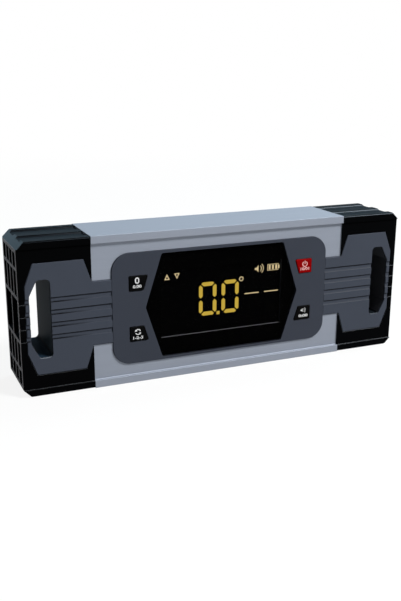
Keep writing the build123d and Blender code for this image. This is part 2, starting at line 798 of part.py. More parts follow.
# Battery contacts: a bridge across the left ends of the cells, and one strip with a tail at each right end
with BuildPart() as contact_bridge:
    extrude(contact_profile(-1, 1, spring_room), amount=contact_width / 2, both=True)
    extrude(contact_profile(-1, -1, plate_room), amount=contact_width / 2, both=True)
    with BuildSketch(facing_front(compartment_floor)):
        with Locations((contact_thickness / 2 - contact_wall, mid)):
            Rectangle(contact_thickness, 2 * cell_row)
    extrude(amount=contact_nose, dir=BACK)
contact_bridge.part.label = "contact_bridge"
export_step(contact_bridge.part, "parts/contact_bridge.step")

with BuildPart() as contact_positive:
    extrude(contact_profile(1, 1, plate_room), amount=contact_width / 2, both=True)
    extrude(tail_outline(1), amount=tail_length, dir=BACK)
contact_positive.part.label = "contact_positive"
export_step(contact_positive.part, "parts/contact_positive.step")

with BuildPart() as contact_negative:
    extrude(contact_profile(1, -1, spring_room), amount=contact_width / 2, both=True)
    extrude(tail_outline(-1), amount=tail_length, dir=BACK)
contact_negative.part.label = "contact_negative"
export_step(contact_negative.part, "parts/contact_negative.step")

# Battery cover, flush with the rear web, with counterbored holes for its two screws
with BuildPart() as battery_cover:
    with BuildSketch(facing_rear(rear_web_face)):
        with Locations((0, mid)):
            RectangleRounded(cover_length, cover_height, cover_radius)
    extrude(amount=cover_thickness, dir=FRONT)
    chamfer(battery_cover.faces().sort_by(Axis.Y)[-1].edges(), cover_bevel)
    with Locations(facing_rear(rear_web_face)):
        with Locations((-cover_screw_x, mid), (cover_screw_x, mid)):
            CounterBoreHole(
                cover_screw_diameter / 2 + fit,
                cover_screw_head / 2 + fit,
                cover_screw_head_height + fit,
                depth=cover_thickness,
            )
battery_cover.part.label = "battery_cover"
export_step(battery_cover.part, "parts/battery_cover.step")

# Cover screws, which stay in the cover
head_seat = rear_web_face - cover_screw_head_height - fit
with BuildPart() as cover_screws:
    with BuildSketch(facing_rear(head_seat)):
        with Locations((-cover_screw_x, mid), (cover_screw_x, mid)):
            Circle(cover_screw_head / 2)
    extrude(amount=cover_screw_head_height, dir=BACK)
    with BuildSketch(facing_rear(head_seat)):
        with Locations((-cover_screw_x, mid), (cover_screw_x, mid)):
            Circle(cover_screw_diameter / 2)
    extrude(amount=head_seat - cover_seat + cover_screw_length - fit, dir=FRONT)
cover_screws.part.label = "cover_screws"
export_step(cover_screws.part, "parts/cover_screws.step")

# Countersunk screws through the rear web into the tongues of the end caps
head_height = (cap_screw_head - cap_screw_diameter) / 2
with BuildPart() as cap_screws:
    with BuildSketch(facing_front(rear_web_face)):
        with Locations((0, mid)):
            with GridLocations(2 * cap_screw_x, cap_screw_spacing, 2, 2):
                Circle(cap_screw_head / 2)
    extrude(amount=head_height, taper=countersink_angle / 2)
    with BuildSketch(facing_front(rear_web_face - head_height)):
        with Locations((0, mid)):
            with GridLocations(2 * cap_screw_x, cap_screw_spacing, 2, 2):
                Circle(cap_screw_diameter / 2)
    extrude(amount=rear_web - head_height + cap_screw_length - fit)
cap_screws.part.label = "cap_screws"
export_step(cap_screws.part, "parts/cap_screws.step")
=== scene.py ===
import math

import bmesh
import bpy
from mathutils import Matrix, Vector


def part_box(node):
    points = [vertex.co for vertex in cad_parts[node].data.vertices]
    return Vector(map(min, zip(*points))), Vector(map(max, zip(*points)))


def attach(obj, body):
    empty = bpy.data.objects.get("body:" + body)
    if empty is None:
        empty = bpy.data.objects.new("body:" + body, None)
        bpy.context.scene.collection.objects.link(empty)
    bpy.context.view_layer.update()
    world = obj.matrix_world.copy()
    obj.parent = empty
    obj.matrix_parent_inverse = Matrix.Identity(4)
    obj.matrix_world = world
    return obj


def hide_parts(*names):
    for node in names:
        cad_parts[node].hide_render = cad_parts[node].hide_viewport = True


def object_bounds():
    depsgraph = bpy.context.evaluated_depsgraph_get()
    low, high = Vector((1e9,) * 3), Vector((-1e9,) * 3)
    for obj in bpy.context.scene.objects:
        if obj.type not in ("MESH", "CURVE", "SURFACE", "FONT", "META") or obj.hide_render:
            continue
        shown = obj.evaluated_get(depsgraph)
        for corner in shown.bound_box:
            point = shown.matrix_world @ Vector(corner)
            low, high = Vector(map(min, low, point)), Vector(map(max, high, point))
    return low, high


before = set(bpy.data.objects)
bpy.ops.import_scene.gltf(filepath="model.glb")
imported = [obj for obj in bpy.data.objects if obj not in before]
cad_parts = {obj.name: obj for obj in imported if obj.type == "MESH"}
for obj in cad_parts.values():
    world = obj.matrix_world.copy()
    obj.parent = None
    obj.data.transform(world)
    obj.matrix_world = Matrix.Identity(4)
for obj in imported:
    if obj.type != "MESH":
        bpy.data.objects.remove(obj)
cad_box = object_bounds()


# Aluminium profile: the extruded box section that carries everything else. It is brushed along its
# length and anodised a cool silver. The long edges of its two plates are broken, and its upward faces
# are duller.
mm = 0.001
edge_samples = 6


class Signal:
    """An output socket of a finish. Arithmetic on it adds Math nodes."""

    def __init__(self, finish, socket):
        self.finish = finish
        self.socket = socket

    def math(self, operation, first, second=0.0):
        return self.finish.node("ShaderNodeMath", {"operation": operation}, {0: first, 1: second})

    def __add__(self, other):
        return self.math("ADD", self, other)

    def __sub__(self, other):
        return self.math("SUBTRACT", self, other)

    def __rsub__(self, other):
        return self.math("SUBTRACT", other, self)

    def __mul__(self, other):
        return self.math("MULTIPLY", self, other)

    def __gt__(self, other):
        return self.math("GREATER_THAN", self, other)

    def __lt__(self, other):
        return self.math("LESS_THAN", self, other)

    def __abs__(self):
        return self.math("ABSOLUTE", self)

    __radd__ = __add__
    __rmul__ = __mul__


class Finish:
    """A procedural material, or another owner of shader nodes. Patterns lie in the part's own frame."""

    def __init__(self, name, owner=None, **constants):
        self.owner = owner or bpy.data.materials.new(name)
        self.owner.use_nodes = True
        self.tree = self.owner.node_tree
        self.shader = self.tree.nodes.get("Principled BSDF")
        for constant, value in constants.items():
            socket = constant.replace("_", " ").title().replace("Ior", "IOR")
            self.shader.inputs[socket].default_value = value
        self.place = self.node("ShaderNodeTexCoord", output="Object")

    def node(self, kind, settings=None, inputs=None, output=0):
        """Adds a node with its settings and the values or links of its sockets, and returns one output."""
        made = self.tree.nodes.new(kind)
        for name, value in (settings or {}).items():
            setattr(made, name, value)
        for name, value in (inputs or {}).items():
            self.connect(made.inputs[name], value)
        return Signal(self, made.outputs[output])

    def connect(self, socket, value):
        if isinstance(value, Signal):
            self.tree.links.new(value.socket, socket)
        else:
            socket.default_value = value

    def vary(self, socket, signal):
        """Feeds a shader socket with something that changes over the surface."""
        self.connect(self.shader.inputs[socket], signal)

    def mix(self, factor, first, second):
        """A colour between two colours."""
        return self.node("ShaderNodeMix", {"data_type": "RGBA"}, {0: factor, 6: first, 7: second}, 2)

    def axes(self, vector):
        """The parts of a vector along X, Y and Z."""
        return [self.node("ShaderNodeSeparateXYZ", {}, {0: vector}, axis) for axis in "XYZ"]

    def facing(self):
        """The parts of the surface's own direction along X, Y and Z."""
        return self.axes(self.node("ShaderNodeNewGeometry", output="Normal"))

    def ramp(self, value, start, end, low=0.0, high=1.0):
        """A value that goes evenly from low to high between a start and an end, and is held beyond them."""
        span = {"Value": value, "From Min": start, "From Max": end, "To Min": low, "To Max": high}
        return self.node("ShaderNodeMapRange", {}, span)

    def grain(self, size_x, size_y, size_z, detail=3.0):
        """Noise whose grains have a size along each axis."""
        scale = (1 / size_x, 1 / size_y, 1 / size_z)
        spread = self.node("ShaderNodeMapping", {}, {"Vector": self.place, "Scale": scale})
        return self.node("ShaderNodeTexNoise", {}, {"Vector": spread, "Scale": 1.0, "Detail": detail})

    def relief(self, height, depth, edge):
        """Fine relief of a depth, over edges that look rounded by a radius."""
        rounded = self.node("ShaderNodeBevel", {"samples": edge_samples}, {"Radius": edge})
        bump = {"Strength": 1.0, "Distance": depth, "Height": height, "Normal": rounded}
        self.vary("Normal", self.node("ShaderNodeBump", {}, bump))

    def upper_edges(self, reach):
        """One on sharp edges that look up, falling to nought at a distance from them."""
        rounded = self.node("ShaderNodeBevel", {"samples": edge_samples}, {"Radius": reach})
        flat = self.node("ShaderNodeNewGeometry", output="Normal")
        dot_product = {"operation": "DOT_PRODUCT"}
        likeness = self.node("ShaderNodeVectorMath", dot_product, {0: rounded, 1: flat}, "Value")
        upward = self.ramp(self.axes(rounded)[2], 0.1, 0.5)
        return upward * self.ramp(likeness, 0.98, 0.75)


def tint(red, green, blue):
    """About the linear colour of an 8-bit display colour."""
    return [((value / 255 + 0.055) / 1.055) ** 2.4 for value in (red, green, blue)] + [1.0]


def dress(finish, *nodes):
    """Gives a finish to solids of the frame."""
    for name in nodes:
        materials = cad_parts[name].data.materials
        materials.clear()
        materials.append(finish.owner)


anodised = Finish("brushed_anodised_aluminium", metallic=0.5)
brush_lines = anodised.grain(60 * mm, 0.16 * mm, 0.16 * mm)
broad_streaks = anodised.grain(120 * mm, 3 * mm, 3 * mm)
sheen = 0.7 * brush_lines + 0.3 * broad_streaks
satin_silver = anodised.mix(sheen, tint(136, 142, 153), tint(150, 156, 168))
anodised.vary("Base Color", satin_silver)
upward = anodised.ramp(anodised.facing()[2], 0.6, 0.9)
anodised.vary("Roughness", 0.5 + 0.14 * brush_lines + 0.2 * upward)
anodised.relief(brush_lines, 0.003 * mm, 0.08 * mm)
dress(anodised, "body_profile")


# End caps: black glass-filled plastic, moulded in a spark-eroded tool that leaves a fine matt grain with a
# dull sheen. Each plugs into the profile, and its end face is cored into ribs. The greys on its upward edges,
# end rims, top groove walls and slot walls, and the tints of its slot sills, are painted light.
level_middle = 30 * mm
slot_place = 74.5 * mm
slot_half_width = 4.0 * mm
slot_half_height = 15.2 * mm
top_groove_floor = 59.28 * mm
top_groove_edge = 59.6 * mm
rim_start = 82.4 * mm
fade_end = 75 * mm
bluish = (0.55, 0.8, 1.0, 1.0)
dull_sheen = {"sheen_weight": 0.3, "sheen_roughness": 0.3, "sheen_tint": bluish}
cap_plastic = Finish("moulded_black_cap", specular_ior_level=0.006, **dull_sheen)
spark_grain = cap_plastic.grain(0.3 * mm, 0.3 * mm, 0.3 * mm, 4.0)
tone_and_highlight_patches = cap_plastic.grain(14 * mm, 14 * mm, 14 * mm)
black = cap_plastic.mix(tone_and_highlight_patches, tint(1, 1, 2), tint(3, 3, 4))
# Painted highlight: pale lines on edges that look up, in patches, paler on the right cap.
lit_edges = cap_plastic.upper_edges(0.22 * mm) * (0.4 + 0.6 * tone_and_highlight_patches)
along, _, rise = cap_plastic.axes(cap_plastic.place)
facing_x, facing_y, facing_z = cap_plastic.facing()
rightward = cap_plastic.ramp(along, -fade_end, fade_end)
slot_across = abs(abs(along) - slot_place) < slot_half_width
in_slot = (abs(rise - level_middle) < slot_half_height) * slot_across
# Painted light in the slots: pale grey on walls that face left, and on the sills blue in the left cap and
# dark grey in the right.
left_wall_light = cap_plastic.mix(along > 0.0, tint(60, 57, 56), tint(66, 65, 70))
slot_wall_light = cap_plastic.mix(facing_x < -0.3, black, left_wall_light)
sill_light = cap_plastic.mix(along > 0.0, tint(26, 40, 53), tint(6, 8, 11))
slot_light = cap_plastic.mix(facing_z > 0.5, slot_wall_light, sill_light)
moulded = cap_plastic.mix(in_slot, black, slot_light)
# Painted highlight: the sloped walls of the top grooves, dark blue-grey on the left cap and pale grey on the
# right.
slope = cap_plastic.ramp(facing_y * facing_z, -0.3, -0.48)
top_slope = slope * (rise > top_groove_floor) * (rise < top_groove_edge)
slope_highlight = cap_plastic.mix(rightward, tint(19, 23, 28), tint(98, 106, 114))
edge_highlight = cap_plastic.mix(rightward, tint(105, 107, 110), tint(160, 164, 170))
with_edge_highlight = cap_plastic.mix(lit_edges, moulded, edge_highlight)
with_slope_highlight = cap_plastic.mix(top_slope, with_edge_highlight, slope_highlight)
# Painted highlight: pale rims round the end faces, in patches, paler on the left cap than the right.
end_rim = (abs(along) > rim_start) * (0.5 + 0.5 * tone_and_highlight_patches)
rim_highlight = cap_plastic.mix(rightward, tint(172, 165, 165), tint(84, 82, 82))
cap_plastic.vary("Base Color", cap_plastic.mix(end_rim, with_slope_highlight, rim_highlight))
cap_plastic.vary("Roughness", 0.4 + 0.16 * spark_grain)
cap_plastic.relief(spark_grain, 0.006 * mm, 0.15 * mm)
dress(cap_plastic, "end_cap_left", "end_cap_right")


# Cap screws: four zinc-plated countersunk screws through the rear web into the caps. Each has a cross
# recess and a rolled thread, and they repeat in rows, turned at random as a driver leaves them.


def placed(name, mesh, *materials):
    """A new object at the origin for a mesh."""
    made = bpy.data.objects.new(name, mesh)
    for material in materials:
        mesh.materials.append(material)
    bpy.context.scene.collection.objects.link(made)
    return made


def ring(shape, radius, height, count):
    """Points of a circle about the Y axis. The radius may be a function of the angle."""
    points = []
    for step in range(count):
        angle = 2 * math.pi * step / count
        reach = radius(angle) if callable(radius) else radius
        points.append(shape.verts.new((reach * math.cos(angle), height, reach * math.sin(angle))))
    return points


def bridge(shape, first, second):
    """Faces between two rings with equal numbers of points."""
    count = len(first)
    for step in range(count):
        after = (step + 1) % count
        shape.faces.new((first[step], first[after], second[after], second[step]))


def cross_screw(name, head, shank, tip, pitch, arm, slot, recess):
    """A screw along -Y from its crown at the origin. Its head is pairs of radius and height."""
    sides = 32
    shape = bmesh.new()
    outline = []
    for quarter in range(4):
        turn = Matrix.Rotation(quarter * math.pi / 2, 3, "Y")
        outline += [turn @ Vector(corner) for corner in ((arm, 0, slot), (arm, 0, -slot), (slot, 0, -slot))]
    rim = [shape.verts.new(point) for point in outline]
    floor = [shape.verts.new((0.5 * point.x, -recess, 0.5 * point.z)) for point in outline]
    bridge(shape, rim, floor)
    shape.faces.new(floor)
    rings = [ring(shape, radius, height, sides) for radius, height in head]
    crown = [shape.edges.new((rings[0][i - 1], rings[0][i])) for i in range(sides)]
    edges = crown + [shape.edges.get((rim[i - 1], rim[i])) for i in range(len(rim))]
    bmesh.ops.triangle_fill(shape, edges=edges, use_beauty=True)
    steps = 6
    root = head[-1][1]
    for row in range(round((root - tip) / pitch * steps)):
        height = root - (row + 1) * pitch / steps

        def flank(angle, phase=row / steps):
            """Radius of the thread at an angle, rising and falling once in each turn."""
            lead = (angle / (2 * math.pi) + phase) % 1
            return shank * (0.78 + 0.22 * (1 - abs(2 * lead - 1)))

        rings.append(ring(shape, flank, height, sides))
    for upper, lower in zip(rings, rings[1:]):
        bridge(shape, upper, lower)
    shape.faces.new(rings[-1])
    bmesh.ops.recalc_face_normals(shape, faces=shape.faces)
    bmesh.ops.triangulate(shape, faces=[face for face in shape.faces if len(face.verts) > 4])
    mesh = bpy.data.meshes.new(name)
    shape.to_mesh(mesh)
    mesh.shade_smooth()
    mesh.set_sharp_from_angle(angle=math.radians(40))
    return placed(name, mesh)


def row_pattern():
    """Geometry nodes that repeat an item in rows along X and Z and turn each copy about Y."""
    group = bpy.data.node_groups.new("row_pattern", "GeometryNodeTree")
    inputs = {"Item": "Object", "Columns": "Int", "Rows": "Int", "Length": "Float", "Height": "Float"}
    inputs.update({"Centre": "Vector", "Turn": "Float", "Seed": "Int", "Finish": "Material"})
    for name, kind in inputs.items():
        group.interface.new_socket(name, in_out="INPUT", socket_type="NodeSocket" + kind)
    group.interface.new_socket("Geometry", in_out="OUTPUT", socket_type="NodeSocketGeometry")
    given = group.nodes.new("NodeGroupInput").outputs

    def add(kind, links, values=None):
        made = group.nodes.new(kind)
        for socket, source in links.items():
            group.links.new(source, made.inputs[socket])
        for socket, value in (values or {}).items():
            made.inputs[socket].default_value = value
        return made.outputs

    size = {"Size X": given["Length"], "Size Y": given["Height"]}
    size.update({"Vertices X": given["Columns"], "Vertices Y": given["Rows"]})
    grid = add("GeometryNodeMeshGrid", size)["Mesh"]
    upright = {"Rotation": (math.pi / 2, 0, 0)}
    places = add("GeometryNodeTransform", {"Geometry": grid, "Translation": given["Centre"]}, upright)
    item = add("GeometryNodeObjectInfo", {"Object": given["Item"]})["Geometry"]
    angle = add("FunctionNodeRandomValue", {3: given["Turn"], "Seed": given["Seed"]}, {2: 0.0})[1]
    turn = add("ShaderNodeCombineXYZ", {"Y": angle})["Vector"]
    turned = add("FunctionNodeEulerToRotation", {"Euler": turn})["Rotation"]
    copies = {"Points": places["Geometry"], "Instance": item, "Rotation": turned}
    copies = add("GeometryNodeInstanceOnPoints", copies)["Instances"]
    solid = add("GeometryNodeRealizeInstances", {"Geometry": copies})["Geometry"]
    done = add("GeometryNodeSetMaterial", {"Geometry": solid, "Material": given["Finish"]})["Geometry"]
    group.links.new(done, group.nodes.new("NodeGroupOutput").inputs["Geometry"])
    return group


row_nodes = row_pattern()


def in_rows(name, item, finish, centre, length, height=0.0, columns=2, rows=1, turn=0.0, seed=1):
    """One plain mesh of an item repeated in rows about a centre. The item itself is used up."""
    holder = placed(name, bpy.data.meshes.new(name))
    modifier = holder.modifiers.new("rows", "NODES")
    modifier.node_group = row_nodes
    values = {"Item": item, "Columns": columns, "Rows": rows, "Length": length, "Height": height}
    values.update({"Centre": centre, "Turn": turn, "Seed": seed, "Finish": finish.owner})
    for socket in row_nodes.interface.items_tree:
        if socket.in_out == "INPUT":
            modifier[socket.identifier] = values[socket.name]
    bpy.context.view_layer.update()
    evaluated = holder.evaluated_get(bpy.context.evaluated_depsgraph_get())
    mesh = bpy.data.meshes.new_from_object(evaluated)
    holder.modifiers.clear()
    holder.data = mesh
    bpy.data.objects.remove(item)
    return holder


zinc = Finish("zinc_plated_steel", metallic=1.0)
plating = zinc.grain(0.4 * mm, 0.4 * mm, 0.4 * mm)
zinc.vary("Base Color", zinc.mix(plating, tint(150, 152, 158), tint(196, 196, 198)))
zinc.vary("Roughness", 0.22 + 0.25 * plating)
zinc.relief(plating, 0.003 * mm, 0.06 * mm)

any_turn = 2 * math.pi
low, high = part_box("cap_screws")
head_radius = 2.3 * mm
head = [(1.7 * mm, 0.0), (2.2 * mm, 0.0), (head_radius, -0.08 * mm), (1.25 * mm, -1.05 * mm)]
recess = {"arm": 1.3 * mm, "slot": 0.3 * mm, "recess": 0.85 * mm}
screw = cross_screw("cap_screw", head, shank=1.25 * mm, tip=low.y - high.y, pitch=0.9 * mm, **recess)
crowns = Vector(((low.x + high.x) / 2, high.y, (low.z + high.z) / 2))
spread_x = high.x - low.x - 2 * head_radius
spread_z = high.z - low.z - 2 * head_radius
driven = {"turn": any_turn, "seed": 4}
cap_screws = in_rows("cap_screw_set", screw, zinc, crowns, spread_x, spread_z, rows=2, **driven)
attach(cap_screws, "housing")
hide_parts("cap_screws")


# Grip inlays: slate grey plastic plates round the slots, pegged into the caps and the profile. Their grooves
# and edges come from the mould, which leaves a satin face. The dark and pale groove edges and the pale lip of
# each slot are painted to stand for light and shade.
groove_pitch = 4.8 * mm
slot_foot = 14.9 * mm
inlay_plastic = Finish("satin_slate_inlay", specular_ior_level=0.08)
satin = inlay_plastic.grain(0.22 * mm, 0.22 * mm, 0.22 * mm, 4.0)
flow = inlay_plastic.grain(18 * mm, 18 * mm, 18 * mm)
slate = inlay_plastic.mix(flow, tint(63, 68, 78), tint(68, 73, 84))
along, _, rise = inlay_plastic.axes(inlay_plastic.place)
# Painted shade and light on the groove edges, where ambient occlusion finds a corner: dark under each upper
# edge, and along each lower edge a pale line that turns dark towards the outer end of the left inlay.
cycle = (rise - level_middle) * (1 / groove_pitch)
under_land = inlay_plastic.node("ShaderNodeMath", {"operation": "FRACT"}, {0: cycle}) > 0.5
outward = inlay_plastic.ramp(along, -54 * mm, -67 * mm)
shaded_edge = tint(4, 5, 6)
lit_edge = inlay_plastic.mix(along > 0.0, tint(70, 75, 85), tint(80, 84, 92))
lower_edge = inlay_plastic.mix(outward, lit_edge, shaded_edge)
edge_light_and_shade = inlay_plastic.mix(under_land, lower_edge, shaded_edge)
close_by = {"samples": edge_samples, "only_local": True}
openness = inlay_plastic.node("ShaderNodeAmbientOcclusion", close_by, {"Distance": 0.8 * mm}, "AO")
corner = inlay_plastic.ramp(openness, 0.95, 0.78)
# Painted highlight: a pale line on the upward lip of each slot, paler on the left inlay.
slot_lip = (inlay_plastic.facing()[2] > 0.5) * (abs(rise - slot_foot) < 0.3 * mm)
grooved = inlay_plastic.mix(corner, slate, edge_light_and_shade)
lip_highlight = inlay_plastic.mix(along > 0.0, tint(112, 118, 126), tint(80, 86, 94))
inlay_plastic.vary("Base Color", inlay_plastic.mix(slot_lip, grooved, lip_highlight))
inlay_plastic.vary("Roughness", 0.46 + 0.16 * satin)
inlay_plastic.relief(satin, 0.004 * mm, 0.06 * mm)
dress(inlay_plastic, "grip_insert_left", "grip_insert_right")


# Front panel: the darker grey plate that holds window, display and keys. It lies in the front web on a ring
# of closed-cell foam with adhesive on both faces. The pale line on the sill of its opening is painted to
# stand for light that falls there.
sill_height = 16.3 * mm
panel_plastic = Finish("satin_panel_grey", specular_ior_level=0.08)
panel_satin = panel_plastic.grain(0.2 * mm, 0.2 * mm, 0.2 * mm, 4.0)
panel_flow = panel_plastic.grain(25 * mm, 25 * mm, 25 * mm)
panel_grey = panel_plastic.mix(panel_flow, tint(56, 60, 69), tint(60, 64, 74))
panel_rise = panel_plastic.axes(panel_plastic.place)[2]
# Painted highlight: a pale line on the upward sill of the window opening.
sill = (panel_plastic.facing()[2] > 0.5) * (abs(panel_rise - sill_height) < 0.2 * mm)
panel_plastic.vary("Base Color", panel_plastic.mix(sill, panel_grey, tint(138, 138, 144)))
panel_plastic.vary("Roughness", 0.48 + 0.14 * panel_satin)
panel_plastic.relief(panel_satin, 0.004 * mm, 0.12 * mm)
dress(panel_plastic, "front_panel")

foam = Finish("closed_cell_foam", specular_ior_level=0.2)
cells = foam.node("ShaderNodeTexVoronoi", {}, {"Vector": foam.place, "Scale": 1 / (0.25 * mm)})
foam.vary("Base Color", foam.mix(cells, tint(20, 20, 20), tint(48, 48, 48)))
foam.vary("Roughness", 0.8 + 0.15 * cells)
foam.relief(cells, 0.05 * mm, 0.1 * mm)
dress(foam, "panel_gasket")


# Display window: a hexagon of smoked acrylic, polished and set flush. The black film behind it holds it in
# the panel and frames the view.
smoke_share = 0.3
acrylic = Finish("smoked_acrylic", specular_ior_level=0.008, alpha=smoke_share)
polish = acrylic.grain(2.5 * mm, 2.5 * mm, 2.5 * mm)
acrylic.vary("Base Color", acrylic.mix(polish, tint(1, 1, 1), tint(2, 2, 3)))
acrylic.vary("Roughness", 0.04 + 0.06 * polish)
dress(acrylic, "display_window")

film = Finish("black_film", specular_ior_level=0.008)
ink = film.grain(0.5 * mm, 0.5 * mm, 0.5 * mm)
film.vary("Base Color", film.mix(ink, tint(1, 1, 1), tint(2, 2, 2)))
film.vary("Roughness", 0.5 + 0.2 * ink)
dress(film, "window_mask")


# Display: dark glass whose segments shine amber where they are switched on, with a milky light guide and
# a layered elastomer strip behind it. The signs are thin layers on the face of the glass.


def printed(name, face, layer, outlines, finish):
    """A thin closed layer in front of a face at depth Y, from outlines of X and Z."""
    shape = bmesh.new()
    for outline in outlines:
        shape.faces.new([shape.verts.new((x, face, z)) for x, z in outline])
    made = bmesh.ops.extrude_face_region(shape, geom=shape.faces[:], use_keep_orig=True)
    lifted = [part for part in made["geom"] if isinstance(part, bmesh.types.BMVert)]
    bmesh.ops.translate(shape, verts=lifted, vec=(0, -layer, 0))
    bmesh.ops.triangulate(shape, faces=shape.faces[:])
    bmesh.ops.recalc_face_normals(shape, faces=shape.faces)
    mesh = bpy.data.meshes.new(name)
    shape.to_mesh(mesh)
    return placed(name, mesh, finish.owner)


def block(left, bottom, width, height):
    """Outline of an upright rectangle."""
    return [(left, bottom), (left + width, bottom), (left + width, bottom + height), (left, bottom + height)]


def arc(centre_x, centre_z, inner, outer, start, end, steps=14):
    """Outline of a band along an arc, between two angles in degrees."""
    angles = [math.radians(start + (end - start) * step / steps) for step in range(steps + 1)]
    far = [(centre_x + outer * math.cos(angle), centre_z + outer * math.sin(angle)) for angle in angles]
    near = [(centre_x + inner * math.cos(angle), centre_z + inner * math.sin(angle)) for angle in angles]
    return far + near[::-1]


def circle(centre_x, centre_z, inner, outer):
    """Outlines of a round band, as two halves."""
    return [arc(centre_x, centre_z, inner, outer, start, start + 180) for start in (0, 180)]


def loudspeaker(left, middle, size):
    """Outlines of a loudspeaker with two sound waves, as wide as its size."""
    box = [(0, -0.09), (0.16, -0.09), (0.36, -0.32), (0.36, 0.32), (0.16, 0.09), (0, 0.09)]
    cone = [(left + size * x, middle + size * z) for x, z in box]
    hub = left + 0.32 * size
    waves = [arc(hub, middle, size * r, size * (r + 0.07), -48, 48) for r in (0.3, 0.5)]
    return [cone] + waves


display_glass = Finish("dark_display_glass", specular_ior_level=0.008)
polarizer = display_glass.grain(1.5 * mm, 3 * mm, 1.5 * mm)
display_glass.vary("Base Color", display_glass.mix(polarizer, tint(1, 1, 1), tint(2, 2, 3)))
display_glass.vary("Roughness", 0.2 + 0.1 * polarizer)
dress(display_glass, "lcd_glass")

guide = Finish("milky_light_guide")
dots = guide.node("ShaderNodeTexVoronoi", {}, {"Vector": guide.place, "Scale": 1 / (0.8 * mm)})
guide.vary("Base Color", guide.mix(dots, tint(240, 240, 236), tint(214, 216, 214)))
guide.vary("Roughness", 0.3 + 0.3 * dots)
dress(guide, "backlight_guide")

zebra = Finish("layered_elastomer")
stripes = {"Vector": zebra.place, "Scale": 0.5 / (0.2 * mm)}
layers = zebra.node("ShaderNodeTexWave", {"bands_direction": "X"}, stripes, 1)
zebra.vary("Base Color", zebra.mix(layers, tint(24, 22, 22), tint(176, 120, 126)))
zebra.vary("Roughness", 0.6 + 0.2 * layers)
dress(zebra, "lcd_connector")

lit = Finish("amber_segment", roughness=0.5, emission_strength=1.25)
dither = lit.grain(0.5 * mm, 0.5 * mm, 0.5 * mm)
lit.vary("Base Color", lit.mix(dither, tint(90, 60, 10), tint(110, 80, 20)))
lit.vary("Emission Color", lit.mix(dither, tint(224, 184, 50), tint(236, 208, 92)))

pale = Finish("pale_segment", roughness=0.5, emission_strength=1.4)
pale_dither = pale.grain(0.5 * mm, 0.5 * mm, 0.5 * mm)
pale.vary("Base Color", pale.mix(pale_dither, tint(90, 70, 40), tint(110, 90, 60)))
pale.vary("Emission Color", pale.mix(pale_dither, tint(232, 206, 150), tint(250, 230, 182)))

glass_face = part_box("lcd_glass")[0].y
segment_layer = 0.03 * mm
digit_width = 7.7 * mm
digit_height = 13.9 * mm
digit_pitch = 9.97 * mm
digit_left = -10.0 * mm
digit_foot = 23.05 * mm
stroke = 1.6 * mm
corner = 1.7 * mm
gap = 0.22 * mm
waist = 0.4 * mm


def mirrored(outline, over_x, over_z):
    """An outline turned over about the middle of its digit."""
    return [(-x if over_x else x, -z if over_z else z) for x, z in outline]


half_width = digit_width / 2
half_height = digit_height / 2
upright_segment = [
    (-half_width, stroke / 2 + waist),
    (-half_width, half_height - corner),
    (-half_width + corner / 2 - gap, half_height - corner / 2 - gap),
    (-half_width + stroke, half_height - stroke - 2 * gap),
    (-half_width + stroke, stroke / 2 + waist),
    (-half_width + stroke / 2, waist),
]
level_segment = [
    (-half_width + corner / 2 + gap, half_height - corner / 2 + gap),
    (-half_width + corner, half_height),
    (half_width - corner, half_height),
    (half_width - corner / 2 - gap, half_height - corner / 2 + gap),
    (half_width - stroke - 2 * gap, half_height - stroke),
    (-half_width + stroke + 2 * gap, half_height - stroke),
]
zero = [mirrored(upright_segment, over_x, over_z) for over_x in (False, True) for over_z in (False, True)]
zero += [mirrored(level_segment, False, over_z) for over_z in (False, True)]
digit = printed("digit", 0.0, segment_layer, zero, lit)
digits_middle = Vector((digit_left + half_width + digit_pitch / 2, glass_face, digit_foot + half_height))
digits = in_rows("display_digits", digit, lit, digits_middle, digit_pitch)

point_size = 1.35 * mm
point_left = -2.2 * mm
point_drop = 0.15 * mm
point = block(point_left, digit_foot - point_drop, point_size, point_size)
points = printed("display_point", glass_face, segment_layer, [point], lit)

dash_length = 6.5 * mm
dash_height = 0.42 * mm
dash_pitch = 9.0 * mm
dash_outline = block(-dash_length / 2, -dash_height / 2, dash_length, dash_height)
dash = printed("dash", 0.0, segment_layer, [dash_outline], pale)
dashes_middle = Vector((18.17 * mm, glass_face, 30.28 * mm))
dashes = in_rows("display_dashes", dash, pale, dashes_middle, dash_pitch)

battery_left = 20.7 * mm
battery_foot = 39.08 * mm
battery_length = 5.15 * mm
battery_height = 2.7 * mm
battery_right = battery_left + battery_length
battery_top = battery_foot + battery_height
frame_line = 0.2 * mm
frame_side = battery_height - 2 * frame_line
knob_length = 0.5 * mm
battery = [
    block(battery_left, battery_foot, battery_length, frame_line),
    block(battery_left, battery_top - frame_line, battery_length, frame_line),
    block(battery_left, battery_foot + frame_line, frame_line, frame_side),
    block(battery_right - frame_line, battery_foot + frame_line, frame_line, frame_side),
    block(battery_right, battery_foot + battery_height / 4, knob_length, battery_height / 2),
]
bar_width = 0.85 * mm
bar_pitch = 1.55 * mm
bar_inset = 0.6 * mm
bar_gap = 0.4 * mm
for count in range(3):
    bar_left = battery_left + bar_inset + count * bar_pitch
    battery.append(block(bar_left, battery_foot + bar_gap, bar_width, battery_height - 2 * bar_gap))
arrows = []
arrow_reach = 1.15 * mm
arrow_middle = 40.73 * mm
for arrow_x, way in ((-23.68 * mm, 1), (-19.48 * mm, -1)):
    corners = [Vector((-arrow_reach, -way * arrow_reach)), Vector((arrow_reach, -way * arrow_reach))]
    corners.append(Vector((0, way * arrow_reach)))
    heart = Vector((0, -0.4 * way * arrow_reach))
    middle = Vector((arrow_x, arrow_middle))
    for start, end in zip(corners, corners[1:] + corners[:1]):
        side = [start, end, heart.lerp(end, 0.5), heart.lerp(start, 0.5)]
        arrows.append([tuple(middle + end_point) for end_point in side])
